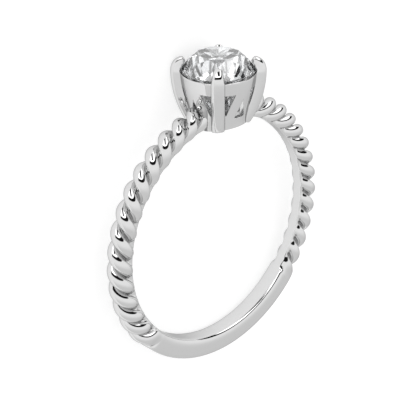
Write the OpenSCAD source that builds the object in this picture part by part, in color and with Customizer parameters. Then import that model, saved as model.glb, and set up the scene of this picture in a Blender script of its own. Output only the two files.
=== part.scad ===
// Solitaire engagement ring: a two-strand rope-twist band, plain at the bottom, that
// carries a pierced tulip cup with four claws and one round brilliant-cut stone.
// Millimetres. The ring is drawn standing, with the finger hole along Y and the stone
// at the top, and is then laid on its side, as it rests on a table.

/* [Band] */
// Diameter of the finger hole
finger_d = 16.9; // [15:0.1:20]
// Width of the plain stretch, along the finger
band_w = 1.62; // [1.4:0.02:2]
// Thickness of the plain stretch, from the finger hole out
band_t = 1.5; // [1.4:0.02:1.8]
// Rounding of the plain stretch's long edges
edge_round = 0.2; // [0.1:0.05:0.4]
// Hoop angle from the bottom at which the band is wholly plain
plain_end = 43; // [30:1:50]
// Hoop angle from the bottom at which the band is wholly rope
rope_start = 52; // [51:1:75]

/* [Rope] */
// Thickness of one strand
strand_d = 0.88; // [0.8:0.01:1]
// Breadth of one strand's slanted cut across the band
strand_cut_w = 1.3; // [1:0.02:1.5]
// Thickness of the fused core, at the bottom of the grooves
core_d = 0.8; // [0.6:0.02:1]
// How far the finger hole trims the inside of the rope
rope_trim = 0.09; // [0.05:0.01:0.2]
// Fill of the grooves on the finger side, as a share of the rope's radius
finger_fill = 0.95; // [0.8:0.01:1]
// Turns of the rope in a whole hoop
rope_turns = 21; // [18:1:26]
// Turn of the rope at the bottom of the hoop
rope_phase = 12; // [0:1:180]
// Turn by which the rope's right side lags and its left side leads
rope_lag = 66; // [0:1:90]

/* [Stone] */
// Diameter of the stone across its girdle
stone_d = 5.1; // [4.9:0.05:5.1]
// Height of the girdle's lower edge above the middle of the finger hole
girdle_z = 12.04; // [12.04:0.02:12.2]
// Thickness of the girdle
girdle_t = 0.08; // [0.05:0.01:0.2]
// Width of the table, as a share of the diameter
table_share = 0.57; // [0.5:0.01:0.65]
// Height of the crown, as a share of the diameter
crown_share = 0.212; // [0.14:0.002:0.214]
// Depth of the pavilion, as a share of the diameter
pavilion_share = 0.43; // [0.4:0.005:0.45]
// Clearance between the stone and the metal
stone_gap = 0.04; // [0.02:0.01:0.06]

/* [Cup] */
// Outer radius of the cup where it meets the finger hole
cup_foot_r = 1.93; // [1.8:0.01:2.1]
// Outer radius of the cup's rim
cup_rim_r = 2.58; // [2.55:0.01:2.6]
// Height of the rim above the middle of the finger hole
cup_rim_z = 11.92; // [11.8:0.01:11.92]
// Thickness of the cup's wall
cup_wall = 0.36; // [0.3:0.01:0.45]
// Height of the windows' upper edge
window_top_z = 11; // [10.9:0.05:11.3]
// Height of the lower tip of the windows beside the claws
window_tip_z = 9.45; // [9.3:0.05:9.7]
// Height of the tip of the window in the middle of each quarter
arch_tip_z = 10.45; // [10.2:0.05:10.7]
// Height of the lower edge of the window in the middle of each quarter
arch_foot_z = 9.2; // [9.1:0.05:9.5]

/* [Claws] */
// Width of a claw
claw_w = 0.94; // [0.8:0.02:1.1]
// Thickness of a claw, away from the stone
claw_t = 0.96; // [0.8:0.02:1.1]
// Reach of a claw's outer face from the middle of the stone
claw_reach = 3.245; // [3.1:0.005:3.4]
// Height at which a claw starts to bend over the stone
claw_bend_z = 12.02; // [11.9:0.02:12.1]
// Radius of a claw's outer face over the stone
claw_bend_r = 1.04; // [0.9:0.02:1.1]
// Radius of a claw's outer face below the bend
claw_sweep_r = 6.9; // [6:0.1:9]
// Angle that a claw bends through over the stone
claw_bend_angle = 72; // [55:1:75]
// Width of a claw at its tip, as a share of its full width
claw_tip_share = 0.64; // [0.5:0.02:1]

/* [Hidden] */

// Finger hole and rope
bore_r = finger_d / 2;
strand_r = strand_d / 2;
rope_r = strand_d;
centre_r = bore_r - rope_trim + rope_r;
plain_out = bore_r + band_t - centre_r;
plain_in = centre_r - bore_r + 0.12;
fill_wave = 0.1;

// Sides of the band's cross-section, and the rings that carry it along the hoop. The rope
// turns by one side from ring to ring, so its grooves follow the edges of the faces.
section_sides = 16;
side_step = 360 / section_sides;
hoop_rings = rope_turns * section_sides;
lag_ease = 0.08;
lag_steps = 6;
plain_skip = 4;
corner_cut = 0.3;

// Heights of the stone
stone_r = stone_d / 2;
table_r = table_share * stone_r;
girdle_top_z = girdle_z + girdle_t;
table_z = girdle_top_z + crown_share * stone_d;
culet_z = girdle_z - pavilion_share * stone_d;
crown_slope = (table_z - girdle_top_z) / (stone_r - table_r);
pavilion_slope = (girdle_z - culet_z) / stone_r;
facet_step = 45;
facet_half = facet_step / 2;

// Points of the star facets, and of the lower halves, each between the stone's main points
star_share = 0.5;
half_share = 0.23;
star_r = table_r * cos(facet_half) + star_share * (stone_r - table_r * cos(facet_half));
star_z = table_z - (star_r * cos(facet_half) - table_r) * crown_slope;
half_r = half_share * stone_r;
half_z = culet_z + half_r * cos(facet_half) * pavilion_slope;

// Cup, as a curve from the foot to the rim, and its windows. Angles are from the claw
// beside the window.
cup_foot_z = 8.2;
cup_belly = [2.45, 10.2];
cup_waist = [cup_foot_r + 0.04, 9.6];
cup_steps = 10;
window_near_angle = 6;
window_far_angle = 29;
window_tip_angle = 14.5;
arch_foot_angle = 13;
quarter_angle = 45;
window_top_r = 2.48;
window_tip_r = 2.08;
cutter_l = 3;
seat_rise = 0.3;

// Claws
claw_angles = [45, 135, 225, 315];
claw_sides = 14;
claw_squareness = 3;
claw_foot_z = 7.6;
sweep_steps = 8;
bend_steps = 7;
nose_steps = 4;
claw_half_w = claw_w / 2;
claw_half_t = claw_t / 2;

// The ring lies on the cup's rim and the lower edge of the band's bottom
band_touch_y = band_w / 2;
band_touch_z = -(bore_r + band_t - edge_round);
lie_tilt = atan((cup_rim_r - band_touch_y) / (cup_rim_z - band_touch_z));
lie_drop = cup_rim_r * cos(lie_tilt) - cup_rim_z * sin(lie_tilt);
lie_top = table_z * cos(lie_tilt) + table_r * cos(facet_half) * sin(lie_tilt);
lie_bottom = -(bore_r + band_t) * cos(lie_tilt) - (band_touch_y - edge_round) * sin(lie_tilt);

// Share of the lag at a hoop angle: 1 on the right side, -1 on the left, with an even change
// between them at the bottom and under the cup
function lag_share(hoop) = sin(hoop) / sqrt(pow(sin(hoop), 2) + lag_ease);

// Hoop angle at which the rope has made a turn, found in a few steps from a guess
function turned_at(turn, guess, steps) = steps == 0
    ? guess
    : turned_at(turn, (turn - rope_phase + rope_lag * lag_share(guess)) / rope_turns, steps - 1);

// Hoop angle of a ring, from the bottom, between -180 and 180
function ring_angle(j) = let (a = turned_at(j * side_step, j * side_step / rope_turns, lag_steps))
    a > 180 ? a - 360 : a;

// Share of the plain cross-section at a hoop angle: 1 at the bottom, 0 in the rope
function plain_share(hoop) = let (
    s = min(1, max(0, (rope_start - abs(hoop)) / (rope_start - plain_end)))
) s * s * (3 - 2 * s);

// Distance of the rope's surface from its axis, g degrees round from a strand's crest. Each
// strand is cut as an ellipse that touches the axis.
function rope_reach(g) = max(
    core_d / 2,
    2 * strand_r * abs(cos(g)) / (pow(cos(g), 2) + pow(strand_d / strand_cut_w * sin(g), 2))
);

// Distance of the filled finger side from the rope's axis: flat across the middle, with
// shoulders that still swell a little where a strand passes
function fill_reach(off, g) = off < side_step * 1.5
    ? plain_in / cos(off)
    : off < side_step * 2.5 ? rope_r * (finger_fill + fill_wave * abs(cos(g))) : 0;

// Cross-section of the rope, as outward and sideways distances from the band's middle
function rope_point(m, turn) = let (
    a = m * side_step,
    d = max(rope_reach(a - turn), fill_reach(abs(a - 180), a - turn))
) [d * cos(a), d * sin(a)];

// Cross-section of the plain stretch, a rectangle with three points round each corner. The
// points run from the flat outer face (0) to the side (4) and back on each half.
function plain_point(m) = let (
    half_turn = section_sides / 2,
    quarter = section_sides / 4,
    place = quarter - abs(m % half_turn - quarter),
    outward = (m < quarter || m > section_sides - quarter) ? 1 : -1,
    sideways = m <= half_turn ? 1 : -1,
    flat = outward > 0 ? plain_out : plain_in,
    side = band_w / 2,
    corner = [
        [flat, 0],
        [flat, side - edge_round],
        [flat - corner_cut * edge_round, side - corner_cut * edge_round],
        [flat - edge_round, side],
        [0, side]
    ][place]
) [outward * corner[0], sideways * corner[1]];

// A cross-section point at its place on the standing hoop
function on_hoop(p, hoop) = [
    (centre_r + p[0]) * sin(hoop),
    -p[1],
    -(centre_r + p[0]) * cos(hoop)
];

function band_ring(j) = let (
    hoop = ring_angle(j),
    turn = j * side_step,
    s = plain_share(hoop)
) [for (m = [0:section_sides - 1]) on_hoop((1 - s) * rope_point(m, turn) + s * plain_point(m), hoop)];

// The whole hoop, rope and plain stretch, before the finger hole is cut
module hoop_body() {
    kept = [for (j = [0:hoop_rings - 1]) if (plain_share(ring_angle(j)) < 1 || j % plain_skip == 0) j];
    n = section_sides;
    count = len(kept);
    points = [for (j = kept) each band_ring(j)];
    faces = [for (i = [0:count - 1], m = [0:n - 1]) let (
        a = i * n + m,
        b = i * n + (m + 1) % n,
        c = (i + 1) % count * n + (m + 1) % n,
        d = (i + 1) % count * n + m
    ) each [[a, b, c], [a, c, d]]];
    polyhedron(points, faces);
}

// Curve of the cup's outer face, from the foot (t = 0) to the rim (t = 1)
function cup_curve(t) = pow(1 - t, 3) * [cup_foot_r, cup_foot_z]
    + 3 * pow(1 - t, 2) * t * cup_waist
    + 3 * (1 - t) * pow(t, 2) * cup_belly
    + pow(t, 3) * [cup_rim_r, cup_rim_z];

cup_outer = [for (i = [0:cup_steps]) cup_curve(i / cup_steps)];
cup_inner = [for (p = cup_outer) [p[0] - cup_wall, p[1]]];

module cup_body() {
    rotate_extrude($fn = 96)
        polygon(concat([[0, cup_foot_z]], cup_outer, [[0, cup_rim_z]]));
}

// The space inside the cup: its open foot, its inner face, and the bevel that seats the stone
module cup_hollow() {
    seat_r = stone_r - (girdle_z - cup_rim_z) / pavilion_slope + 1.5 * stone_gap;
    seat_foot_r = cup_rim_r - cup_wall;
    seat_foot_z = cup_rim_z - (seat_r - seat_foot_r) * pavilion_slope;
    inner_r = [for (p = cup_inner) if (p[1] < seat_foot_z) p];
    rotate_extrude($fn = 96)
        polygon(concat(
            [[0, cup_foot_z - 1], [cup_inner[0][0], cup_foot_z - 1]],
            inner_r,
            [[seat_foot_r, seat_foot_z], [seat_r, cup_rim_z], [seat_r, cup_rim_z + seat_rise], [0, cup_rim_z + seat_rise]]
        ));
}

// A cutter that runs out from the middle of the stone at an angle round it. Its outline is
// given as sideways distance and height.
module window_cutter(angle, outline) {
    rotate([0, 0, angle])
        translate([0.5, 0, 0])
            rotate([90, 0, 90])
                linear_extrude(cutter_l)
                    polygon(outline);
}

// Sideways distance of a point on the cup from a cutter's middle, both as angles
function aside(r, angle, middle) = r * sin(angle - middle);

// The two windows beside a claw and the pointed one in the middle of the quarter after it
module quarter_windows(claw_angle) {
    middle = (window_near_angle + window_far_angle) / 2;
    tip = aside(window_tip_r, window_tip_angle, middle);
    near = aside(window_top_r, window_near_angle, middle);
    far = aside(window_top_r, window_far_angle, middle);
    foot = aside(window_tip_r, arch_foot_angle, 0);
    window_cutter(claw_angle + middle, [[near, window_top_z], [near, window_tip_z], [tip, window_tip_z], [far, window_top_z]]);
    window_cutter(
        claw_angle + 2 * quarter_angle - middle,
        [[-near, window_top_z], [-far, window_top_z], [-tip, window_tip_z], [-near, window_tip_z]]
    );
    window_cutter(claw_angle + quarter_angle, [[-foot, arch_foot_z], [foot, arch_foot_z], [0, arch_tip_z]]);
}

// Middle line of a claw as [distance from the stone's middle, height, lean, share of the
// thickness, share of the width]: a long arc up from the finger hole, a tight arc over the
// stone that narrows, and a round nose
sweep_mid_r = claw_sweep_r - claw_half_t;
bend_mid_r = claw_bend_r - claw_half_t;
sweep_angle = asin((claw_bend_z - claw_foot_z) / sweep_mid_r);
nose_l = 0.2;
nose_thin = 0.9;

function sweep_point(a) = [
    claw_reach - claw_half_t - sweep_mid_r * (1 - cos(a)),
    claw_bend_z - sweep_mid_r * sin(a),
    -a,
    1,
    1
];
function bend_point(a) = let (s = a / claw_bend_angle) [
    claw_reach - claw_bend_r + bend_mid_r * cos(a),
    claw_bend_z + bend_mid_r * sin(a),
    a,
    1 - (1 - nose_thin) * s * s,
    1 - (1 - claw_tip_share) * s
];
function nose_point(a) = let (e = bend_point(claw_bend_angle)) [
    e[0] - nose_l * sin(a) * sin(claw_bend_angle),
    e[1] + nose_l * sin(a) * cos(claw_bend_angle),
    claw_bend_angle,
    nose_thin * cos(a),
    claw_tip_share * cos(a)
];
claw_line = concat(
    [for (i = [sweep_steps:-1:1]) sweep_point(sweep_angle * i / sweep_steps)],
    [for (i = [0:bend_steps]) bend_point(claw_bend_angle * i / bend_steps)],
    [for (i = [1:nose_steps - 1]) nose_point(90 * i / nose_steps)]
);

// Rounded-square cross-section of a claw, at a place on its middle line
function squircle(v) = sign(v) * pow(abs(v), 2 / claw_squareness);
function claw_ring(p) = [for (k = [0:claw_sides - 1]) let (
    a = k * 360 / claw_sides,
    out = p[3] * claw_half_t * squircle(cos(a)),
    side = p[4] * claw_half_w * squircle(sin(a))
) [p[0] + out * cos(p[2]), side, p[1] + out * sin(p[2])]];

module claw() {
    n = claw_sides;
    rings = len(claw_line);
    nose = nose_point(90);
    last = rings * n;
    points = concat([for (p = claw_line) each claw_ring(p)], [[nose[0], 0, nose[1]]]);
    walls = [for (i = [0:rings - 2], k = [0:n - 1]) let (
        a = i * n + k,
        b = i * n + (k + 1) % n,
        c = (i + 1) * n + (k + 1) % n,
        d = (i + 1) * n + k
    ) each [[a, c, b], [a, d, c]]];
    cap = [for (k = [0:n - 1]) [(rings - 1) * n + k, last, (rings - 1) * n + (k + 1) % n]];
    foot = [[for (k = [0:n - 1]) k]];
    polyhedron(points, concat(walls, cap, foot));
}

// Space kept clear for the stone: its outline all round, with the clearance added
module stone_space() {
    r = stone_r + stone_gap;
    rise = stone_gap * 1.3;
    low = girdle_z - rise;
    high = girdle_top_z + rise;
    rotate_extrude($fn = 96)
        polygon([
            [0, low - r * pavilion_slope],
            [r, low],
            [r, high],
            [star_r + stone_gap, star_z + rise],
            [table_r, table_z + rise],
            [0, table_z + rise]
        ]);
}

// Soldered metal: band, cup and claws are one piece
module standing_metal() {
    difference() {
        union() {
            hoop_body();
            difference() {
                cup_body();
                for (a = claw_angles) quarter_windows(a);
            }
            for (a = claw_angles) rotate([0, 0, a]) claw();
        }
        cup_hollow();
        stone_space();
        rotate([90, 0, 0]) cylinder(r = bore_r, h = 12, center = true, $fn = 180);
    }
}

// A ring of points round the stone's axis
function stone_points(r, z, start, step) = [for (a = [start:step:start + 359]) [r * cos(a), r * sin(a), z]];

// Round brilliant cut: table, 8 stars, 8 kites, 16 upper halves, girdle, 16 lower halves and
// 8 pavilion mains that meet in a point
module standing_diamond() {
    points = concat(
        stone_points(table_r, table_z, facet_half, facet_step),
        stone_points(star_r, star_z, facet_step, facet_step),
        stone_points(stone_r, girdle_top_z, facet_half, facet_half),
        stone_points(stone_r, girdle_z, facet_half, facet_half),
        stone_points(half_r, half_z, facet_step, facet_step),
        [[0, 0, culet_z]]
    );
    star = 8;
    upper = 16;
    lower = 32;
    half = 48;
    culet = 56;
    table = [[for (k = [7:-1:0]) k]];
    crown = [for (k = [0:7]) let (
        next = (k + 1) % 8,
        before = (k + 7) % 8,
        main = upper + 2 * k,
        between = upper + 2 * k + 1,
        after = upper + (2 * k + 2) % 16
    ) each [
        [k, next, star + k],
        [k, star + k, main, star + before],
        [star + k, between, main],
        [star + k, after, between]
    ]];
    belt = [for (k = [0:15]) let (n = (k + 1) % 16) [upper + k, upper + n, lower + n, lower + k]];
    pavilion = [for (k = [0:7]) let (
        before = (k + 7) % 8,
        main = lower + 2 * k,
        between = lower + 2 * k + 1,
        after = lower + (2 * k + 2) % 16
    ) each [
        [culet, half + before, main, half + k],
        [half + k, main, between],
        [half + k, between, after]
    ]];
    polyhedron(points, concat(table, crown, belt, pavilion));
}

// Lays the standing ring on its side
module lie_down() {
    translate([0, -(lie_top + lie_bottom) / 2, lie_drop])
        rotate([lie_tilt - 90, 0, 0])
            children();
}

module band_with_setting() {
    color([0.84, 0.84, 0.83]) lie_down() standing_metal();
}

module diamond() {
    color([0.93, 0.95, 0.97, 0.6]) lie_down() standing_diamond();
}

band_with_setting();
diamond();
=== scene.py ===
"""Dresses a solitaire engagement ring that lies on its side on a pale table.

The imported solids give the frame. The metal is made again here as smooth surfaces: a hoop that
turns from a two-strand rope into a plain stretch, a pierced cup and four claws. The stone keeps
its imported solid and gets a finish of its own.

Every size is in millimetres for the ring as it is drawn standing: the middle of the finger hole
at the origin, the finger along Y and the stone up along Z. Stance lays it on its side and turns
the sizes into metres.
"""

from __future__ import annotations

import logging
import math
from dataclasses import dataclass
from enum import Enum

import bpy
import numpy as np
from mathutils import Matrix

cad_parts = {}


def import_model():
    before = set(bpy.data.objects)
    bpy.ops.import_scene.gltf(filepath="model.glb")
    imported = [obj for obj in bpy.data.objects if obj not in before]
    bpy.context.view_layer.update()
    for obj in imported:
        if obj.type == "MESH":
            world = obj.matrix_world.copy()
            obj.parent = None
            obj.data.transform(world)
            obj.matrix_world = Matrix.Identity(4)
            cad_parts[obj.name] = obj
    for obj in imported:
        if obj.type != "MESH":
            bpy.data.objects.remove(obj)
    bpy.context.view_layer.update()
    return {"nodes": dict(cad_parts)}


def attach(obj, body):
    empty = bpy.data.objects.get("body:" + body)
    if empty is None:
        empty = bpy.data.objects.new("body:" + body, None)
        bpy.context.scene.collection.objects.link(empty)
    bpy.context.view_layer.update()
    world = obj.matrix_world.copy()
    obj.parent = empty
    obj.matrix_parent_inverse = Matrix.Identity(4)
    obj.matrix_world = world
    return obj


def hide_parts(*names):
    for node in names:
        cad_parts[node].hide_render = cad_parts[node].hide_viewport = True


MM = 0.001
WELD_DISTANCE = 0.002
METAL_NODE = "band_with_setting"
STONE_NODE = "diamond"
MIX_SHARE, MIX_FIRST, MIX_SECOND, MIX_RESULT = 0, 6, 7, 2  # colour sockets of a Mix node
Colour = tuple[float, float, float, float]

log = logging.getLogger("ring")


# Shapes


def smooth_step(share: np.ndarray) -> np.ndarray:
    """Eases a share of the way from 0 to 1, so that it starts and ends level.

    Args:
        share: How far along, where values outside 0 to 1 are held at the ends.

    Returns:
        The eased share, s * s * (3 - 2 * s).
    """
    held = np.clip(share, 0.0, 1.0)
    return held * held * (3.0 - 2.0 * held)


def soft_max(first: np.ndarray, second: np.ndarray | float, width: float) -> np.ndarray:
    """Takes the larger of two values, with the corner between them rounded off.

    Args:
        first: Values.
        second: Values or one value to compare with.
        width: Difference of the two at which the rounding ends.

    Returns:
        The larger one, plus a quarter of the width times the squared nearness of the two.
    """
    near = np.clip(1.0 - np.abs(first - second) / width, 0.0, 1.0)
    return np.maximum(first, second) + near * near * width / 4.0


def grid_quads(rows: int, columns: int, closed_rows: bool, closed_columns: bool) -> np.ndarray:
    """Numbers the quads of a grid of points that is stored row by row.

    Args:
        rows: Points along the first parameter.
        columns: Points along the second parameter.
        closed_rows: Whether the last row joins the first.
        closed_columns: Whether the last column joins the first.

    Returns:
        One row of four point numbers per quad.
    """
    i, j = np.meshgrid(
        np.arange(rows if closed_rows else rows - 1),
        np.arange(columns if closed_columns else columns - 1),
        indexing="ij",
    )
    row, next_row = i * columns, (i + 1) % rows * columns
    next_j = (j + 1) % columns
    corners = (row + j, row + next_j, next_row + next_j, next_row + j)
    return np.stack([c.ravel() for c in corners], axis=1)


def ring_quads(low: np.ndarray, high: np.ndarray) -> np.ndarray:
    """Joins two closed rings of point numbers by quads, one row of four numbers for each."""
    return np.stack([low, np.roll(low, -1), np.roll(high, -1), high], axis=1)


def split_quads(quads: np.ndarray) -> np.ndarray:
    """Cuts each quad into two triangles along its first and third corners."""
    return np.concatenate([quads[:, [0, 1, 2]], quads[:, [0, 2, 3]]])


def outward(points: np.ndarray, faces: list[list[int]]) -> list[list[int]]:
    """Turns every face of a closed shell round if the shell is inside out.

    Args:
        points: Places of the points.
        faces: Point numbers of each face, all turning the same way.

    Returns:
        The faces, in the order that gives the shell a positive volume.
    """
    first = points[[f[0] for f in faces]]
    second = points[[f[1] for f in faces]]
    third = points[[f[2] for f in faces]]
    volume = np.einsum("ij,ij->i", first, np.cross(second, third)).sum()
    return faces if volume > 0 else [f[::-1] for f in faces]


def make_piece(name: str, points: np.ndarray, faces: list[list[int]]) -> bpy.types.Object:
    """Makes a smooth-shaded object at the origin from points and faces.

    Args:
        name: Name of the piece.
        points: Places in the row frame, in metres.
        faces: Point numbers of each face.

    Returns:
        The new object, linked to the scene.
    """
    mesh = bpy.data.meshes.new(name)
    mesh.from_pydata(points.tolist(), [], outward(points, faces))
    mesh.validate()
    mesh.polygons.foreach_set("use_smooth", np.ones(len(mesh.polygons), dtype=bool))
    mesh.update()
    piece = bpy.data.objects.new(name, mesh)
    bpy.context.scene.collection.objects.link(piece)
    return piece


def add_field(piece: bpy.types.Object, name: str, values: np.ndarray) -> None:
    """Stores one number per point on a piece under a name, for its finish to read."""
    attribute = piece.data.attributes.new(name, "FLOAT", "POINT")
    attribute.data.foreach_set("value", values.astype(np.float32).ravel())


def add_weld(piece: bpy.types.Object) -> None:
    """Makes one point of those that lie together, which closes tips and poles."""
    weld = piece.modifiers.new("weld", "WELD")
    weld.merge_threshold = WELD_DISTANCE * MM


# Sizes


@dataclass(frozen=True)
class Band:
    """Sizes of the plain stretch at the bottom of the hoop."""

    bore_r: float = 8.45
    width: float = 1.62
    thickness: float = 1.5
    edge_round: float = 0.2
    plain_end: float = 45.0
    rope_start: float = 54.5

    @property
    def outer_r(self) -> float:
        """Radius of the plain stretch's outer face."""
        return self.bore_r + self.thickness


@dataclass(frozen=True)
class Stone:
    """Heights and radii of the round brilliant."""

    radius: float = 2.55
    girdle_z: float = 12.04
    girdle_t: float = 0.08
    table_share: float = 0.57
    crown_share: float = 0.212
    pavilion_share: float = 0.43
    clearance: float = 0.04
    rise_share: float = 1.3
    star_share: float = 0.5
    half_facet: float = math.radians(22.5)

    @property
    def table_r(self) -> float:
        """Radius of the table's corners."""
        return self.table_share * self.radius

    @property
    def girdle_top_z(self) -> float:
        """Height of the girdle's upper edge."""
        return self.girdle_z + self.girdle_t

    @property
    def table_z(self) -> float:
        """Height of the table."""
        return self.girdle_top_z + 2 * self.radius * self.crown_share

    @property
    def culet_z(self) -> float:
        """Height of the point at the stone's bottom."""
        return self.girdle_z - 2 * self.radius * self.pavilion_share

    @property
    def pavilion_slope(self) -> float:
        """Rise of the pavilion for each millimetre outwards."""
        return (self.girdle_z - self.culet_z) / self.radius

    @property
    def star_point(self) -> tuple[float, float]:
        """Where the star facets end at the bottom.

        Returns:
            Distance from the axis, and height, of the star facets' lower points.
        """
        flat_r = self.table_r * math.cos(self.half_facet)
        slope = (self.table_z - self.girdle_top_z) / (self.radius - self.table_r)
        star_r = flat_r + self.star_share * (self.radius - flat_r)
        return star_r, self.table_z - (star_r * math.cos(self.half_facet) - self.table_r) * slope

    def room(self, height: np.ndarray) -> np.ndarray:
        """Radius to keep clear of metal at each height, the clearance included.

        Args:
            height: Heights above the middle of the finger hole.

        Returns:
            The stone's outline as straight lines between culet, girdle, star points and table.
        """
        rise = self.rise_share * self.clearance
        outer = self.radius + self.clearance
        star_r, star_z = self.star_point
        heights = [
            self.girdle_z - rise - outer * self.pavilion_slope,
            self.girdle_z - rise,
            self.girdle_top_z + rise,
            star_z + rise,
            self.table_z + rise,
        ]
        radii = [0.0, outer, outer, star_r + self.clearance, self.table_r]
        return np.interp(height, heights, radii, left=0.0, right=0.0)


@dataclass(frozen=True)
class ClawSizes:
    """Cross-section and path of a claw."""

    width: float = 0.94
    thickness: float = 0.96
    reach: float = 3.245
    bend_z: float = 12.02
    bend_r: float = 1.04
    sweep_r: float = 6.9
    bend_angle: float = 72.0
    nose_length: float = 0.2
    nose_thin: float = 0.9
    tip_share: float = 0.64
    foot_z: float = 7.6
    squareness: float = 3.0

    @property
    def middle_r(self) -> float:
        """Distance of the claw's middle line from the stone's axis, where it starts to bend."""
        return self.reach - self.thickness / 2


@dataclass(frozen=True)
class Stance:
    """Lays the standing ring on its side, on the cup's rim and the band's lower edge."""

    band: Band
    stone: Stone
    cup: PiercedCup

    @property
    def tilt(self) -> float:
        """How far the ring leans.

        Returns:
            Angle between the finger hole and the upright, in radians: that of the line through
            the cup's rim and the band's lower edge.
        """
        band_y = self.band.width / 2
        band_z = self.band.edge_round - self.band.outer_r
        return math.atan((self.cup.rim_r - band_y) / (self.cup.rim_z - band_z))

    @property
    def turn(self) -> np.ndarray:
        """Rotation from the standing ring to the one that lies."""
        s, c = math.sin(self.tilt), math.cos(self.tilt)
        return np.array([[1.0, 0.0, 0.0], [0.0, s, c], [0.0, -c, s]])

    @property
    def shift(self) -> np.ndarray:
        """Where the middle of the finger hole goes.

        Returns:
            Its place in millimetres, with the ring on the table and its length centred.
        """
        s, c = math.sin(self.tilt), math.cos(self.tilt)
        top = self.stone.table_z * c + self.stone.table_r * math.cos(self.stone.half_facet) * s
        bottom = -self.band.outer_r * c - (self.band.width / 2 - self.band.edge_round) * s
        drop = self.cup.rim_r * c - self.cup.rim_z * s
        return np.array([0.0, -(top + bottom) / 2, drop])

    def lay(self, points: np.ndarray) -> np.ndarray:
        """Carries places of the standing ring to the row frame, as one row each in metres."""
        return (points.reshape(-1, 3) @ self.turn.T + self.shift) * MM


# Pieces


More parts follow.
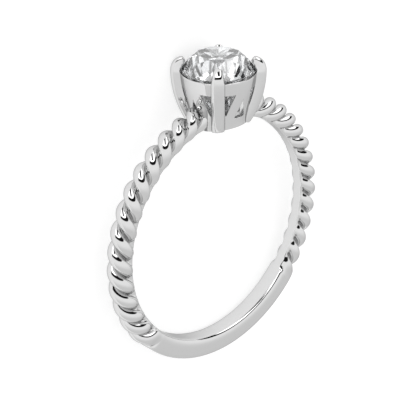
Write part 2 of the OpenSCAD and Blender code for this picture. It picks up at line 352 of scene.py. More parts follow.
@dataclass
class RopeHoop:
    """The hoop: a rope of two strands that runs out into a plain stretch at the bottom.

    Lengths are in millimetres and angles in degrees. The strip is the smooth inner side of the
    rope, and the overlaps are what strip and plain stretch reach into the finger hole before it
    is cut round. The powers round the corners of the plain stretch.
    """

    band: Band
    strand_d: float = 0.88
    core_r: float = 0.3
    trim: float = 0.09
    strip_angle: float = 20.0
    strip_end: float = 52.0
    turns: int = 21
    phase: float = 12.0
    lag: float = 66.0
    lag_ease: float = 0.08
    sides: int = 66
    strip_overlap: float = 0.12
    strip_round: float = 0.12
    plain_overlap: float = 0.02
    bore_round: float = 0.06
    outer_power: float = 9.0
    finger_power: float = 3.8

    @property
    def centre_r(self) -> float:
        """Radius of the circle that the rope's axis follows."""
        return self.band.bore_r - self.trim + self.strand_d

    def turned(self, hoop: np.ndarray) -> np.ndarray:
        """Turn that the rope has made at each angle along the hoop.

        Args:
            hoop: Angles from the bottom, in degrees.

        Returns:
            The turn in degrees: it grows evenly, less a lag on the right side and plus one on
            the left. The lag eases over as the sine, over the root of its square and lag_ease.
        """
        s = np.sin(np.radians(hoop))
        return self.turns * hoop + self.phase - self.lag * s / np.sqrt(s * s + self.lag_ease)

    def rope_reach(self, crest: np.ndarray) -> np.ndarray:
        """Distance of the rope's surface from its axis.

        A round strand winds round the axis and touches it. Carried along its winding line, its
        circle cuts the plane across the rope in a bean. A point of the circle lies on the bean
        at its own distance from the axis, turned on by the drift of the winding line.

        Args:
            crest: Angle round the axis from the crest of a strand, in radians.

        Returns:
            The bean's distance at that angle, and no less than the groove's floor.
        """
        radius, lead = self.strand_d / 2, self.centre_r / self.turns
        length = math.hypot(radius, lead)
        nearest, samples = 0.15, 80
        point = np.linspace(math.pi, nearest, samples)
        away = radius * (1.0 - np.cos(point))
        aside = radius * np.sin(point) * lead / length
        drift = radius * np.sin(point) * radius / (length * lead)
        angle = np.maximum.accumulate(drift + np.arctan2(aside, away))
        folded = np.arccos(np.clip(np.abs(np.cos(crest)), 0.0, 1.0))
        return np.maximum(np.interp(folded, angle, np.hypot(away, aside)), self.core_r)

    def strip_reach(self, off: np.ndarray) -> np.ndarray:
        """Distance of the smooth strip on the finger side from the rope's axis.

        Args:
            off: Angle from the direction of the finger, in radians.

        Returns:
            A flat face up to strip_angle, and from there a fall to nothing at strip_end.
        """
        start = math.radians(self.strip_angle)
        inside = self.centre_r - self.band.bore_r + self.strip_overlap
        flat = inside / np.cos(np.minimum(off, start))
        past = (np.degrees(off) - self.strip_angle) / (self.strip_end - self.strip_angle)
        return flat * (1.0 - smooth_step(past))

    def plain_reach(self, around: np.ndarray) -> np.ndarray:
        """Distance of the plain stretch's surface from the rope's axis.

        Args:
            around: Angle round the axis, from outwards, in radians.

        Returns:
            A rectangle with rounded corners: the two shares of its half sizes, each raised to
            a power, add up to one. The lower power of the finger side rounds its corners more.
        """
        c, s = np.cos(around), np.sin(around)
        out = self.band.outer_r - self.centre_r
        inside = self.centre_r - self.band.bore_r + self.plain_overlap
        depth = np.where(c > 0, out, inside)
        power = np.where(c > 0, self.outer_power, self.finger_power)
        total = np.abs(c / depth) ** power + np.abs(2 * s / self.band.width) ** power
        return total ** (-1.0 / power)

    def build(self, stance: Stance) -> bpy.types.Object:
        """Carries the cross-section round the hoop.

        The two parameters are the angle along the hoop and the angle round the rope's axis. The
        rope turns by one side from ring to ring, so its grooves follow the triangles' edges.

        Args:
            stance: Lays the ring on its side.

        Returns:
            The hoop, with the depth of its grooves stored as groove.
        """
        rings = self.turns * self.sides
        step = 2 * math.pi / self.sides
        ring = np.arange(rings)[:, None]
        around = np.arange(self.sides)[None, :] * step
        spare, samples = 20.0, 4001
        hoop = np.linspace(-spare, 360.0 + spare, samples)
        along = np.radians(np.interp(np.degrees(ring * step), self.turned(hoop), hoop))
        from_bottom = np.abs((np.degrees(along) + 180.0) % 360.0 - 180.0)
        crest = around - ring * step
        off = np.abs(around - math.pi)
        rope = self.rope_reach(crest)
        rope_full = soft_max(rope, self.strip_reach(off), self.strip_round)
        ease = (self.band.rope_start - from_bottom) / (self.band.rope_start - self.band.plain_end)
        plain = smooth_step(ease)
        reach = rope_full * (1.0 - plain) + self.plain_reach(around) * plain
        out = self.centre_r + reach * np.cos(around)
        out = soft_max(out, self.band.bore_r, self.bore_round)
        side = reach * np.sin(around)
        points = np.stack([out * np.sin(along), -side, -out * np.cos(along)], axis=-1)
        faces = split_quads(grid_quads(rings, self.sides, True, True))
        piece = make_piece("hoop", stance.lay(points), faces.tolist())
        depth = (1.0 - plain) * (self.strand_d - reach) / (self.strand_d - self.core_r)
        add_field(piece, "groove", np.clip(depth, 0.0, 1.0))
        return piece


@dataclass
class PiercedCup:
    """The tulip cup under the stone, with pointed windows and a seat for the girdle.

    Heights are above the middle of the finger hole. Angles are in degrees from the nearest claw,
    so that middle_angle is half-way between two claws: on each side of it lies a leaning window,
    and under it a pointed arch. The counts cut the grid of a quarter into stretches of rows and of
    columns, and window_stretches and arch_stretch number the columns' stretches that are open.
    """

    band: Band
    stone: Stone
    foot_r: float = 1.93
    waist_flare: float = 0.04
    waist_z: float = 9.6
    belly_r: float = 2.45
    belly_z: float = 10.2
    rim_r: float = 2.58
    rim_z: float = 11.92
    wall: float = 0.36
    foot_z: float = 8.2
    rim_round: float = 0.08
    window_top_z: float = 11.0
    window_tip_z: float = 9.45
    arch_tip_z: float = 10.45
    arch_foot_z: float = 9.2
    near_angle: float = 6.0
    far_angle: float = 29.0
    tip_angle: float = 14.5
    arch_angle: float = 13.0
    middle_angle: float = 45.0
    arch_top_angle: float = 42.0
    seat_share: float = 1.5
    edge_bevel: float = 0.035
    bevel_from: float = math.radians(50)
    bevel_steps: int = 2
    rim_steps: int = 6
    curve_steps: int = 60
    row_counts: tuple[int, ...] = (14, 4, 14, 8, 8)
    column_counts: tuple[int, ...] = (4, 6, 8, 10, 8, 6, 4)
    window_stretches: tuple[int, int] = (1, 5)
    arch_stretch: int = 3

    def outer_radius(self, height: np.ndarray) -> np.ndarray:
        """Radius of the cup's outer face at each height.

        Args:
            height: Heights above the middle of the finger hole.

        Returns:
            A cubic curve through four pulls, from the foot over waist and belly to the rim.
        """
        t = np.linspace(0.0, 1.0, self.curve_steps)
        pulls = [
            (self.foot_r, self.foot_z),
            (self.foot_r + self.waist_flare, self.waist_z),
            (self.belly_r, self.belly_z),
            (self.rim_r, self.rim_z),
        ]
        weights = [(1 - t) ** 3, 3 * (1 - t) ** 2 * t, 3 * (1 - t) * t**2, t**3]
        radii = sum(w * p[0] for w, p in zip(weights, pulls))
        heights = sum(w * p[1] for w, p in zip(weights, pulls))
        return np.interp(height, heights, radii)

    def inner_radius(self, height: np.ndarray) -> np.ndarray:
        """Radius of the cup's inner face, which opens into the seat at the rim.

        Args:
            height: Heights above the middle of the finger hole.

        Returns:
            The outer radius less the wall, or the seat's bevel where that is wider.
        """
        gap = (self.stone.girdle_z - self.rim_z) / self.stone.pavilion_slope
        seat_r = self.stone.radius - gap + self.seat_share * self.stone.clearance
        bevel = seat_r - (self.rim_z - height) / self.stone.pavilion_slope
        return np.maximum(self.outer_radius(height) - self.wall, bevel)

    def foot_height(self, radius: np.ndarray, angle: np.ndarray) -> np.ndarray:
        """Finger hole's height: the root of its squared radius less the squared way across."""
        return np.sqrt(self.band.bore_r**2 - (radius * np.cos(angle)) ** 2)

    def columns(self, height: np.ndarray) -> np.ndarray:
        """Angles of the grid's columns from the claw, which lean along the windows' edges.

        Args:
            height: Height of each row.

        Returns:
            One row of angles per height, in degrees, for a quarter of the cup.
        """
        edge = np.interp(
            height, [self.window_tip_z, self.window_top_z], [self.tip_angle, self.far_angle]
        )
        arch = np.interp(
            height,
            [self.arch_foot_z, self.arch_tip_z, self.window_top_z],
            [self.middle_angle - self.arch_angle, self.middle_angle, self.arch_top_angle],
        )
        near = np.full_like(height, self.near_angle)
        start, end = np.zeros_like(height), np.full_like(height, 2 * self.middle_angle)
        breaks = [start, near, edge, arch, end - arch, end - edge, end - near, end]
        parts = [
            low[:, None] + (high - low)[:, None] * np.arange(n) / n
            for low, high, n in zip(breaks, breaks[1:], self.column_counts)
        ]
        return np.concatenate(parts, axis=1)

    def rows(self) -> np.ndarray:
        """Spaces the grid's rows, with one at each end of each window.

        Returns:
            Their heights, in even steps between the foot, the windows' ends and the round rim.
        """
        windows = [self.arch_foot_z, self.window_tip_z, self.arch_tip_z, self.window_top_z]
        stops = [self.foot_z, *windows, self.rim_z - self.rim_round]
        parts = [
            low + (high - low) * np.arange(n) / n
            for low, high, n in zip(stops, stops[1:], self.row_counts)
        ]
        return np.concatenate([*parts, [stops[-1]]])

    def kept(self, rows: np.ndarray) -> np.ndarray:
        """Marks the grid's cells that are metal, and not window.

        Args:
            rows: Heights of the rows.

        Returns:
            One truth value per cell, for a quarter of the cup.
        """
        middle = (rows[:-1] + rows[1:]) / 2
        stretch = np.repeat(np.arange(len(self.column_counts)), self.column_counts)
        side = (middle > self.window_tip_z) & (middle < self.window_top_z)
        arch = (middle > self.arch_foot_z) & (middle < self.arch_tip_z)
        open_side = side[:, None] & np.isin(stretch, self.window_stretches)[None, :]
        open_arch = arch[:, None] & (stretch == self.arch_stretch)[None, :]
        return ~(open_side | open_arch)

    def skin(self, radius: np.ndarray, rows: np.ndarray, angle: np.ndarray) -> np.ndarray:
        """Places a skin's points, with the lower rows raised to the finger hole.

        Args:
            radius: Radius of each row.
            rows: Height of each row.
            angle: Angle of each point round the stone's axis, in radians.

        Returns:
            Three coordinates for each row and column: a circle's, and the row's height plus a
            share of the rise from the flat foot to the finger hole.
        """
        above_foot = (rows - self.foot_z) / (self.arch_foot_z - self.foot_z)
        lift = (1.0 - np.clip(above_foot, 0.0, 1.0))[:, None]
        wide = np.broadcast_to(radius[:, None], angle.shape)
        cut = self.foot_height(wide, angle)
        height = rows[:, None] + lift * (cut - self.foot_z)
        return np.stack([wide * np.cos(angle), wide * np.sin(angle), height], axis=-1)

    def build(self, stance: Stance) -> bpy.types.Object:
        """Makes two skins on one grid, and joins them round each window, the rim and the foot.

        The two parameters are the height and the angle round the stone's axis.

        Args:
            stance: Lays the ring on its side.

        Returns:
            The cup, with a fine bevel along its edges and its inner skin marked as inside.
        """
        rows = self.rows()
        quarter = self.columns(rows)
        angle = np.radians(np.concatenate([quarter + corner.value for corner in Corner], axis=1))
        metal = np.tile(self.kept(rows), (1, len(Corner)))
        n_rows, n_columns = angle.shape
        count = n_rows * n_columns
        outer = self.skin(self.outer_radius(rows), rows, angle)
        inner = self.skin(self.inner_radius(rows), rows, angle)
        rim = self.rim_rings(angle[-1])
        points = np.concatenate([part.reshape(-1, 3) for part in (outer, inner, rim)])
        solid = grid_quads(n_rows, n_columns, False, True)[metal.ravel()]
        faces = [solid, solid[:, ::-1] + count]
        faces += self.window_walls(metal, n_columns, count)
        ring = np.arange(n_columns)
        top = ring + count - n_columns
        over = [ring + 2 * count + k * n_columns for k in range(len(rim))]
        loops = [top, *over, top + count]
        faces += [ring_quads(low, high) for low, high in zip(loops, loops[1:])]
        faces.append(ring_quads(ring + count, ring))
        piece = make_piece("cup", stance.lay(points), np.concatenate(faces).tolist())
        number = np.arange(len(points))
        add_field(piece, "inside", (number >= count) & (number < 2 * count))
        self.finish_edges(piece)
        return piece

    def rim_rings(self, angle: np.ndarray) -> np.ndarray:
        """Rounds the rim over from the outer face to the seat.

        Args:
            angle: Angles of the columns at the rim, in radians.

        Returns:
            One ring of points per step: a quarter circle of rim_round, then the inner edge.
        """
        turn = np.linspace(0.0, math.pi / 2, self.rim_steps + 1)[1:]
        height = self.rim_z - self.rim_round * (1 - np.sin(turn))
        radius = self.outer_radius(height) - self.rim_round * (1 - np.cos(turn))
        inner = self.inner_radius(np.array([self.rim_z]))
        radius = np.concatenate([radius, inner])[:, None]
        height = np.concatenate([height, [self.rim_z]])[:, None]
        flat = np.broadcast_to(height, (len(height), len(angle)))
        return np.stack([radius * np.cos(angle), radius * np.sin(angle), flat], axis=-1)

    def window_walls(self, metal: np.ndarray, n_columns: int, count: int) -> list[np.ndarray]:
        """Joins the two skins wherever a metal cell borders on a window.

        Args:
            metal: Truth value of each cell.
            n_columns: Points in a row.
            count: Points in a skin, which is the step from the outer to the inner one.

        Returns:
            Quads through the wall, that face into the windows.
        """
        below, above = metal[:-1], metal[1:]
        before = np.roll(metal, 1, axis=1)
        borders = (
            (below & ~above, True, False),
            (~below & above, True, True),
            (before & ~metal, False, True),
            (~before & metal, False, False),
        )
        walls = []
        for mask, lies_level, flip in borders:
            i, j = np.nonzero(mask)
            far = (i + 1) * n_columns
            low = far + j if lies_level else far - n_columns + j
            high = far + (j + 1) % n_columns if lies_level else far + j
            quad = np.stack([low, high, high + count, low + count], axis=1)
            walls.append(quad[:, ::-1] if flip else quad)
        return walls

    def finish_edges(self, piece: bpy.types.Object) -> None:
        """Closes the windows' tips and takes the sharpness off every edge.

        Args:
            piece: The cup.
        """
        add_weld(piece)
        bevel = piece.modifiers.new("edges", "BEVEL")
        bevel.width = self.edge_bevel * MM
        bevel.segments = self.bevel_steps
        bevel.limit_method = "ANGLE"
        bevel.angle_limit = self.bevel_from
        bevel.harden_normals = True


class Corner(Enum):
    """The four claws, with each one's angle round the stone's axis in degrees."""

    RIGHT_BACK = 45
    LEFT_BACK = 135
    LEFT_FRONT = 225
    RIGHT_FRONT = 315

    @property
    def piece_name(self) -> str:
        """Name of this claw's piece."""
        return "claw_" + self.name.lower()


@dataclass
class Claw:
    """A claw that sweeps up from the finger hole and bends over the stone's edge.

    The rings are counted along its sweep, its bend and its nose.
    """

    sizes: ClawSizes
    band: Band
    stone: Stone
    cup: PiercedCup
    corner: Corner
    sides: int = 48
    sweep_rings: int = 44
    bend_rings: int = 26
    nose_rings: int = 14
    hollow_gap: float = 0.02

    def middle_line(self) -> np.ndarray:
        """Middle line as distance, height, lean, and shares of thickness and of width.

        Returns:
            One row per ring: a long arc up from the finger hole, a tight arc over the stone
            that narrows, and a round nose that closes as a cosine.
        """
        z = self.sizes
        half = z.thickness / 2
        sweep_r, bend_r = z.sweep_r - half, z.bend_r - half
        start = math.asin((z.bend_z - z.foot_z) / sweep_r)
        a = np.linspace(start, 0.0, self.sweep_rings, endpoint=False)
        full = np.ones_like(a)
        inwards, down = sweep_r * (1 - np.cos(a)), sweep_r * np.sin(a)
        sweep = [z.middle_r - inwards, z.bend_z - down, -a, full, full]
        top = math.radians(z.bend_angle)
        b = np.linspace(0.0, top, self.bend_rings)
        thin = 1 - (1 - z.nose_thin) * (b / top) ** 2
        narrow = 1 - (1 - z.tip_share) * (b / top)
        bend_away = z.reach - z.bend_r + bend_r * np.cos(b)
        bend = [bend_away, z.bend_z + bend_r * np.sin(b), b, thin, narrow]
        n = np.linspace(0.0, math.pi / 2, self.nose_rings + 1)[1:]
        ahead = z.nose_length * np.sin(n)
        lean = np.full_like(n, top)
        nose = [
            bend[0][-1] - ahead * math.sin(top),
            bend[1][-1] + ahead * math.cos(top),
            lean,
            z.nose_thin * np.cos(n),
            z.tip_share * np.cos(n),
        ]
        return np.concatenate([np.stack(part, axis=1) for part in (sweep, bend, nose)])

    def build(self, stance: Stance) -> bpy.types.Object:
        """Carries a rounded square along the middle line and fits it to its neighbours.

        The two parameters are the ring along the claw and the angle round it.

        Args:
            stance: Lays the ring on its side.

        Returns:
            The claw, cut off by the finger hole and hollowed for cup and stone.
        """
        z = self.sizes
        line = self.middle_line()
        k = np.arange(self.sides) * 2 * math.pi / self.sides
        round_off = 2 / z.squareness
        out = np.sign(np.cos(k)) * np.abs(np.cos(k)) ** round_off * z.thickness / 2
        side = np.sign(np.sin(k)) * np.abs(np.sin(k)) ** round_off * z.width / 2
        r0, h0, lean, thin, narrow = (line[:, i : i + 1] for i in range(5))
        away = r0 + thin * out * np.cos(lean)
        across = narrow * side + 0 * away
        height = h0 + thin * out * np.sin(lean)
        away = self.clear_inside(away, across, height)
        angle = math.radians(self.corner.value)
        x = away * math.cos(angle) - across * math.sin(angle)
        y = away * math.sin(angle) + across * math.cos(angle)
        height = self.rest_on_bore(x, height)
        points = np.stack([x, y, height], axis=-1)
        rings = len(line)
        faces = grid_quads(rings, self.sides, False, True).tolist()
        faces.append(np.arange(self.sides)[::-1].tolist())
        piece = make_piece(self.corner.piece_name, stance.lay(points), faces)
        add_weld(piece)
        return piece

    def clear_inside(self, away: np.ndarray, across: np.ndarray, height: np.ndarray) -> np.ndarray:
        """Pushes the claw's inner face out of the stone and the hollow cup.

        Args:
            away: Distances from the stone's axis, along the claw's own direction.
            across: Distances to its side.
            height: Heights.

        Returns:
            The distances along the claw's direction, at least as far out as stone and cup reach.
        """
        hollow = self.cup.inner_radius(height) + self.hollow_gap
        limit = np.maximum(self.stone.room(height), np.where(height < self.cup.rim_z, hollow, 0.0))
        nearest = np.sqrt(np.maximum(limit**2 - across**2, 0.0))
        return np.maximum(away, nearest)

    def rest_on_bore(self, x: np.ndarray, height: np.ndarray) -> np.ndarray:
        """Raises heights to the finger hole: the root of its squared radius less x squared."""
        cut = np.sqrt(self.band.bore_r**2 - x**2)
        return np.maximum(height, cut)


# Finishes


@dataclass(frozen=True)
class Value:
    """A number socket on a sheet of nodes, whose arithmetic adds Math nodes."""

    sheet: Sheet
    socket: bpy.types.NodeSocket

    def __add__(self, other: Value | float) -> Value:
        """Sum of the two."""
        return self.sheet.maths("ADD", self, other)

    def __radd__(self, other: float) -> Value:
        """Sum of the two."""
        return self.sheet.maths("ADD", other, self)

    def __sub__(self, other: Value | float) -> Value:
        """This less the other."""
        return self.sheet.maths("SUBTRACT", self, other)

    def __rsub__(self, other: float) -> Value:
        """The other less this."""
        return self.sheet.maths("SUBTRACT", other, self)

    def __mul__(self, other: Value | float) -> Value:
        """Product of the two."""
        return self.sheet.maths("MULTIPLY", self, other)

    def __rmul__(self, other: float) -> Value:
        """Product of the two."""
        return self.sheet.maths("MULTIPLY", other, self)

    def __truediv__(self, other: Value | float) -> Value:
        """This over the other."""
        return self.sheet.maths("DIVIDE", self, other)

    def __rtruediv__(self, other: float) -> Value:
        """The other over this."""
        return self.sheet.maths("DIVIDE", other, self)

    def __abs__(self) -> Value:
        """Size of the number."""
        return self.sheet.maths("ABSOLUTE", self)

    def between(self, low: float, high: float) -> Value:
        """Turns the number into a share of the way between two others.

        Args:
            low: Where the share is 0.
            high: Where it is 1.

        Returns:
            The share, held at 0 and 1 and eased at both ends.
        """
        settings = {"interpolation_type": "SMOOTHSTEP"}
        inputs = {"Value": self, "From Min": low, "From Max": high}
        return self.sheet.add("ShaderNodeMapRange", settings, inputs).out("Result")


@dataclass(frozen=True)
class Placed:
    """A node that has been put on a sheet."""

    sheet: Sheet
    node: bpy.types.Node

    def out(self, name: str) -> Value:
        """The node's output of that name."""
        return Value(self.sheet, self.node.outputs[name])


class Sheet:
    """The nodes of one material or of the world."""

    def __init__(self, tree: bpy.types.NodeTree) -> None:
        """Empties the node tree of a material or of the world, to start on it."""
        self.tree = tree
        tree.nodes.clear()

    def add(
        self,
        kind: str,
        settings: dict[str, object] | None = None,
        inputs: dict[str | int, object] | None = None,
    ) -> Placed:
        """Adds a node, gives it its settings and then its inputs.

        Args:
            kind: Type name of the node.
            settings: Properties of the node.
            inputs: Values or links by socket name or number.

        Returns:
            The node.
        """
        node = self.tree.nodes.new(kind)
        for name, value in (settings or {}).items():
            setattr(node, name, value)
        for name, value in (inputs or {}).items():
            if isinstance(value, Value):
                self.tree.links.new(value.socket, node.inputs[name])
            else:
                node.inputs[name].default_value = value
        return Placed(self, node)

    def maths(self, operation: str, *terms: Value | float) -> Value:
        """Adds a Math node of that operation with its inputs in order, and gives its result."""
        node = self.add("ShaderNodeMath", {"operation": operation}, dict(enumerate(terms)))
        return node.out("Value")

    def dot(self, way: Value, axis: np.ndarray) -> Value:
        """Length of a vector along an axis of length 1, which is their dot product."""
        inputs = {0: way, 1: tuple(axis)}
        return self.add("ShaderNodeVectorMath", {"operation": "DOT_PRODUCT"}, inputs).out("Value")

    def blend(self, share: Value | float, first: object, second: object) -> Value:
        """Mixes two colours.

        Args:
            share: Share of the second colour.
            first: Colour or link.
            second: Colour or link.

        Returns:
            The mixed colour.
        """
        inputs = {MIX_SHARE: share, MIX_FIRST: first, MIX_SECOND: second}
        node = self.add("ShaderNodeMix", {"data_type": "RGBA"}, inputs).node
        return Value(self, node.outputs[MIX_RESULT])

    def noise(self, place: Value, grain: float, detail: float = 2.0, warp: float = 0.0) -> Value:
        """Adds a cloud pattern.

        Args:
            place: Coordinates.
            grain: Size of a cloud in millimetres.
            detail: Number of finer layers.
            warp: How far the pattern is bent.

        Returns:
            The pattern's value, from 0 to 1.
        """
        inputs = {"Vector": place, "Scale": 1.0 / (grain * MM)}
        inputs |= {"Detail": detail, "Distortion": warp}
        return self.add("ShaderNodeTexNoise", {}, inputs).out("Fac")

    def place(self) -> Value:
        """The point's place in the row frame, in metres."""
        return self.add("ShaderNodeTexCoord").out("Object")

    def field(self, name: str) -> Value:
        """The number stored on a piece's points under that name, or 0 on other pieces."""
        return self.add("ShaderNodeAttribute", {"attribute_name": name}).out("Fac")

    def end_with(self, inputs: dict[str | int, object]) -> None:
        """Ends a material with a surface that has these inputs."""
        surface = self.add("ShaderNodeBsdfPrincipled", {}, inputs).out("BSDF")
        self.add("ShaderNodeOutputMaterial", {}, {"Surface": surface})


def grey(level: float) -> Colour:
    """The neutral colour of that level."""
    return (level, level, level, 1.0)


def blank_material(name: str) -> tuple[bpy.types.Material, Sheet]:
    """Makes a material with nothing on it.

    Args:
        name: Name of the material.

    Returns:
        The material and its sheet of nodes.
    """
    material = bpy.data.materials.new(name)
    material.use_nodes = True
    return material, Sheet(material.node_tree)


@dataclass(frozen=True)
class PolishedGold:
    """Polished white gold, with painted shade in the rope's grooves, and inside the cup a satin
    finish with a painted lighter tone against its shade.

    Grains are in millimetres, a haze is what each pattern adds to the roughness, and a depth is
    its height in the bump, in millimetres.
    """

    tone: float = 0.7
    edge_tone: float = 0.55
    groove_shade_tone: float = 0.5
    inside_painted_light_tone: float = 0.95
    gloss: float = 0.03
    cloud_grain: float = 1.2
    scratch_grain: float = 0.05
    scratch_from: float = 0.55
    scratch_to: float = 0.8
    ripple_grain: float = 0.7
    groove_from: float = 0.6
    groove_shade_share: float = 0.9
    cloud_share: float = 0.05
    cloud_haze: float = 0.03
    scratch_haze: float = 0.04
    groove_haze: float = 0.05
    satin_haze: float = 0.45
    ripple_depth: float = 0.004
    scratch_depth: float = 0.0003

    def make(self) -> bpy.types.Material:
        """Makes the material.

        Returns:
            A metal whose colour and roughness drift a little, with fine scratches and ripples.
        """
        material, sheet = blank_material("polished_white_gold")
        place = sheet.place()
        cloud = sheet.noise(place, self.cloud_grain)
        scratch = sheet.noise(place, self.scratch_grain, detail=3.0, warp=1.5)
        ripple = sheet.noise(place, self.ripple_grain, detail=1.0)
        deep = sheet.field("groove").between(self.groove_from, 1.0)
        inside = sheet.field("inside")
        # Painted shade: the base colour darkens to a darker grey in the rope's grooves, where
        # shade falls; the cloud adds a random mottle of tone.
        groove_shade_and_mottle = deep * self.groove_shade_share + cloud * self.cloud_share
        tone = sheet.blend(groove_shade_and_mottle, grey(self.tone), grey(self.groove_shade_tone))
        # Painted light: the cup's inner skin gets a lighter grey than the outer metal, which lifts
        # the shade inside the cup.
        tone = sheet.blend(inside, tone, grey(self.inside_painted_light_tone))
        marks = scratch.between(self.scratch_from, self.scratch_to)
        haze = self.gloss + cloud * self.cloud_haze + marks * self.scratch_haze
        haze = haze + deep * self.groove_haze + inside * self.satin_haze
        height = ripple * self.ripple_depth + scratch * self.scratch_depth
        bump = sheet.add("ShaderNodeBump", {}, {"Height": height, "Distance": MM, "Strength": 1.0})
        inputs = {"Base Color": tone, "Metallic": 1.0, "Roughness": haze}
        inputs |= {"Specular Tint": grey(self.edge_tone), "Normal": bump.out("Normal")}
        sheet.end_with(inputs)
        return material


@dataclass(frozen=True)
class CutDiamond:
    """Clear stone with polished facets and a girdle that is only ground.

    The belt is the ground part. It fades out between two shares of the girdle's thickness, which
    are measured from the girdle's middle.
    """

    stance: Stance
    tint: Colour = (0.97, 0.985, 1.0, 1.0)
    refraction: float = 2.417
    clearness: float = 0.97
    belt_from: float = 0.4
    belt_to: float = 0.55
    belt_haze: float = 0.2
    grain_haze: float = 0.1
    grain: float = 0.06

    def make(self) -> bpy.types.Material:
        """Makes the material.

        Returns:
            Clear glass of a diamond's refraction, frosted in a narrow belt round the girdle.
        """
        material, sheet = blank_material("cut_diamond")
        stone = self.stance.stone
        axis = self.stance.turn @ np.array([0.0, 0.0, 1.0])
        middle = stone.girdle_z + stone.girdle_t / 2 + float(self.stance.shift @ axis)
        place = sheet.place()
        from_middle = abs(sheet.dot(place, axis) / MM - middle)
        ends = (stone.girdle_t * share for share in (self.belt_from, self.belt_to))
        belt = 1.0 - from_middle.between(*ends)
        grain = sheet.noise(place, self.grain)
        haze = belt * (self.belt_haze + grain * self.grain_haze)
        inputs = {"Base Color": self.tint, "Roughness": haze}
        inputs |= {"IOR": self.refraction, "Transmission Weight": self.clearness}
        sheet.end_with(inputs)
        return material


@dataclass(frozen=True)
class PaleTable:
    """The matt white table top, which glows a little, as a table lit from below does."""

    tone: float = 0.5
    glow: float = 0.63
    haze: float = 0.9

    def make(self) -> bpy.types.Material:
        """Makes the material.

        Returns:
            A matt white surface with an even glow.
        """
        material, sheet = blank_material("pale_table")
        inputs = {"Base Color": grey(self.tone), "Roughness": self.haze, "Specular IOR Level": 0.0}
        inputs |= {"Emission Color": grey(1.0), "Emission Strength": self.glow}
        sheet.end_with(inputs)
        return material


# Studio


def direction(azimuth: float, elevation: float) -> np.ndarray:
    """Unit vector to a place on the sky, by degrees from +Y towards +X and above the table."""
    a, e = math.radians(azimuth), math.radians(elevation)
    return np.array([math.sin(a) * math.cos(e), math.cos(a) * math.cos(e), math.sin(e)])


@dataclass(frozen=True)
class Card:
    """A soft-edged card in front of the tent, lighter or darker than the tent itself.

    Angles are in degrees: the place of the card's middle on the sky, half its width and height,
    the width of its soft edge, and how far it is rolled about its middle.
    """

    azimuth: float
    elevation: float
    half_width: float
    half_height: float
    edge: float
    level: float
    roll: float = 0.0

    def share(self, sheet: Sheet, way: Value) -> Value:
        """Says how much of the card is seen in each direction.

        Args:
            sheet: Nodes of the world.
            way: The direction looked in.

        Returns:
            1 on the card and 0 beyond its soft edge.
        """
        ahead = direction(self.azimuth, self.elevation)
        level = np.array([ahead[1], -ahead[0], 0.0]) / math.hypot(ahead[0], ahead[1])
        upright = np.cross(level, ahead)
        r = math.radians(self.roll)
        right = level * math.cos(r) + upright * math.sin(r)
        up = upright * math.cos(r) - level * math.sin(r)
        along = [sheet.dot(way, axis) for axis in (ahead, right, up)]
        aside = abs(sheet.maths("ARCTAN2", along[1], along[0])) / math.radians(1.0)
        above = abs(sheet.maths("ARCSINE", along[2])) / math.radians(1.0)
        wide = 1.0 - aside.between(self.half_width, self.half_width + self.edge)
        high = 1.0 - above.between(self.half_height, self.half_height + self.edge)
        return wide * high


@dataclass(frozen=True)
class Ring:
    """A soft-edged ring in front of the tent, round a place on the sky.

    Angles are in degrees: the place of the ring's middle, its radius, half the width of its
    band and the width of its soft edges.
    """

    azimuth: float
    elevation: float
    radius: float
    half_width: float
    edge: float
    level: float

    def share(self, sheet: Sheet, way: Value) -> Value:
        """Says how much of the ring is seen in each direction.

        Args:
            sheet: Nodes of the world.
            way: The direction looked in.

        Returns:
            1 on the ring's band and 0 beyond its soft edges.
        """
        middle = direction(self.azimuth, self.elevation)
        angle = sheet.maths("ARCCOSINE", sheet.dot(way, middle)) / math.radians(1.0)
        return 1.0 - abs(angle - self.radius).between(self.half_width, self.half_width + self.edge)


@dataclass
class Studio:
    """Pale table and a white tent of light, with soft rings and cards in front of it."""

    tent_level: float = 0.8
    cards: tuple[Card | Ring, ...] = (
        Ring(azimuth=0.0, elevation=0.0, radius=70.0, half_width=12.0, edge=50.0, level=1.07),
        Ring(azimuth=2.0, elevation=0.0, radius=25.0, half_width=25.0, edge=4.0, level=2.4),
        Ring(azimuth=2.0, elevation=0.0, radius=54.5, half_width=7.5, edge=3.0, level=0.01),
        Card(
            azimuth=6.0, elevation=7.0, half_width=30.0, half_height=8.5, edge=4.0,
            level=0.01, roll=-52.0,
        ),
    )
    table_size: float = 0.5
    table_drop: float = 0.01

    def build(self) -> None:
        """Puts table and tent into the scene."""
        self.add_table()
        self.add_tent()

    def add_table(self) -> None:
        """Lays the table just under the ring."""
        reach = np.array([-1.0, 1.0]) * self.table_size / 2
        x, y = np.meshgrid(reach, reach)
        points = np.stack([x.ravel(), y.ravel(), np.full(4, -self.table_drop * MM)], axis=1)
        mesh = bpy.data.meshes.new("table")
        mesh.from_pydata(points.tolist(), [], [[0, 1, 3, 2]])
        table = bpy.data.objects.new("table", mesh)
        bpy.context.scene.collection.objects.link(table)
        table.data.materials.append(PaleTable().make())

    def add_tent(self) -> None:
        """Fills the world with an even light and sets the cards in front of it, one by one.

        The cards light the ring and are mirrored in it; the backdrop itself is plain white.
        """
        world = bpy.data.worlds.new("tent")
        bpy.context.scene.world = world
        world.use_nodes = True
        sheet = Sheet(world.node_tree)
        way = sheet.add("ShaderNodeTexCoord").out("Generated")
        light: Value | float = self.tent_level
        for card in self.cards:
            light = light + card.share(sheet, way) * (card.level - light)
        backdrop = sheet.add("ShaderNodeLightPath").out("Is Camera Ray")
        light = light + backdrop * (1.0 - light)
        inputs = {"Color": grey(1.0), "Strength": light}
        background = sheet.add("ShaderNodeBackground", {}, inputs)
        sheet.add("ShaderNodeOutputWorld", {}, {"Surface": background.out("Background")})


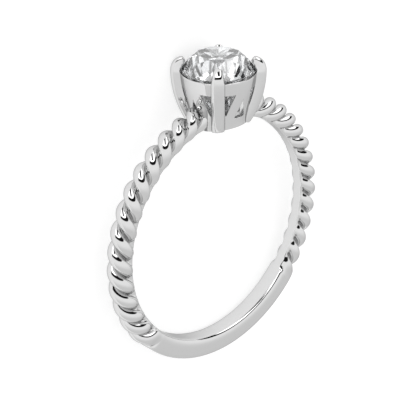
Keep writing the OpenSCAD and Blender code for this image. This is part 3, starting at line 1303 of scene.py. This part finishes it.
@dataclass
class Viewpoint:
    """The photograph's camera, given round the standing ring."""

    azimuth: float = -43.76
    elevation: float = 26.92
    roll: float = -0.4
    distance: float = 77.33
    aside: float = -0.76
    above: float = 1.44
    focal_px: float = 1071.19
    picture_px: int = 416
    sensor: float = 36.0
    clip: tuple[float, float] = (0.005, 5.0)

    def build(self, stance: Stance) -> None:
        """Makes the camera and lays it on its side together with the ring.

        Args:
            stance: Lays the ring on its side.
        """
        a, e, r = (math.radians(v) for v in (self.azimuth, self.elevation, self.roll))
        back = np.array([math.sin(a) * math.cos(e), -math.cos(a) * math.cos(e), math.sin(e)])
        level = np.array([math.cos(a), math.sin(a), 0.0])
        upright = np.cross(back, level)
        right = math.cos(r) * level + math.sin(r) * upright
        up = math.cos(r) * upright - math.sin(r) * level
        place = back * self.distance + self.aside * level + self.above * upright
        axes = stance.turn @ np.stack([right, up, back], axis=1)
        lens = bpy.data.cameras.new("camera")
        lens.sensor_width = self.sensor
        lens.lens = self.focal_px * self.sensor / self.picture_px
        lens.clip_start, lens.clip_end = self.clip
        camera = bpy.data.objects.new("camera", lens)
        pose = np.eye(4)
        pose[:3, :3] = axes
        pose[:3, 3] = stance.lay(place)[0]
        camera.matrix_world = Matrix(pose.tolist())
        bpy.context.scene.collection.objects.link(camera)
        bpy.context.scene.camera = camera


def main() -> None:
    """Builds the ring's pieces in order."""
    logging.basicConfig(level=logging.INFO, format="%(message)s")
    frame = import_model()
    band, stone, claw_sizes = Band(), Stone(), ClawSizes()
    cup = PiercedCup(band, stone)
    stance = Stance(band, stone, cup)
    pieces = [RopeHoop(band).build(stance), cup.build(stance)]
    pieces += [Claw(claw_sizes, band, stone, cup, corner).build(stance) for corner in Corner]
    gold = PolishedGold().make()
    for piece in pieces:
        piece.data.materials.append(gold)
        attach(piece, "root")
        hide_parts(METAL_NODE)
        log.info("piece %s: %d faces", piece.name, len(piece.data.polygons))
    solid_stone = frame["nodes"][STONE_NODE]
    solid_stone.data.materials.clear()
    solid_stone.data.materials.append(CutDiamond(stance).make())
    log.info("node %s: finish set", STONE_NODE)
    Studio().build()
    Viewpoint().build(stance)
    bpy.context.scene.view_settings.view_transform = "Standard"


if __name__ == "__main__":
    main()
